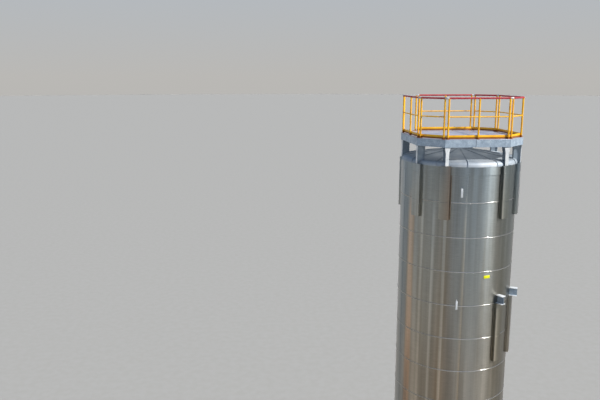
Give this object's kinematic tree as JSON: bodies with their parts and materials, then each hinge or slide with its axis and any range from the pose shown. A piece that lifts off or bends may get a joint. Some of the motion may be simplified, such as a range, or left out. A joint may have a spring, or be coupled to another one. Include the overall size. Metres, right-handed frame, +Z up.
{
  "type": "vertical storage tank",
  "caption": "Tall round insulated steel storage tank with a low conical roof, an octagonal railed roof platform on legs, a low manhole and a round concrete plinth.",
  "frame": {"origin": "centre of the plinth's underside, on level ground", "axes": "+Z up along the tank's axis; -Y is the front, with the manhole; the platform's open side, where a link walkway lands, faces back left, between -X and +Y"},
  "size_m": [4.34, 4.34, 15.9158],
  "materials": {
    "concrete": "cast concrete, dry and matt",
    "ring_steel": "light grey primer, dusty",
    "wall_cladding": "thin brushed stainless sheet, slightly wavy",
    "roof_cladding": "thin stainless sheet gores",
    "galvanised_steel": "dull galvanised",
    "deck_plate": "galvanised tread plate",
    "yellow_paint": "semi-gloss safety yellow",
    "red_paint": "semi-gloss red",
    "cover_steel": "satin stainless, bluish"
  },
  "bodies": {
    "root": {"plinth": "concrete", "base_ring": "ring_steel", "tank_bottom": "wall_cladding", "wall_segment_1": "wall_cladding", "wall_segment_2": "wall_cladding", "wall_segment_3": "wall_cladding", "wall_segment_4": "wall_cladding", "wall_segment_5": "wall_cladding", "wall_segment_6": "wall_cladding", "wall_segment_7": "wall_cladding", "wall_segment_8": "wall_cladding", "roof": "roof_cladding", "platform_leg_1": "galvanised_steel", "platform_leg_2": "galvanised_steel", "platform_leg_3": "galvanised_steel", "platform_leg_4": "galvanised_steel", "platform_leg_5": "galvanised_steel", "platform_leg_6": "galvanised_steel", "platform_leg_7": "galvanised_steel", "platform_leg_8": "galvanised_steel", "leg_box_1": "wall_cladding", "leg_box_2": "wall_cladding", "leg_box_3": "wall_cladding", "leg_box_4": "wall_cladding", "leg_box_5": "wall_cladding", "leg_box_6": "wall_cladding", "leg_box_7": "wall_cladding", "leg_box_8": "wall_cladding", "platform_frame": "galvanised_steel", "deck": "deck_plate", "railing_front_left": "yellow_paint", "railing_front": "yellow_paint", "railing_front_right": "yellow_paint", "railing_right": "yellow_paint", "railing_back_right": "yellow_paint", "railing_back": "yellow_paint", "railing_back_left": "yellow_paint", "railing_left": "yellow_paint", "top_rail": "red_paint", "beam_stub_1": "galvanised_steel", "beam_stub_2": "galvanised_steel", "stub_box_1": "wall_cladding", "stub_box_2": "wall_cladding", "pipe_cleat_1": "galvanised_steel", "pipe_cleat_2": "galvanised_steel", "pipe_cleat_3": "galvanised_steel", "pipe_cleat_4": "galvanised_steel", "manhole_neck": "wall_cladding", "manhole_cover": "cover_steel"}
  },
  "joints": []
}
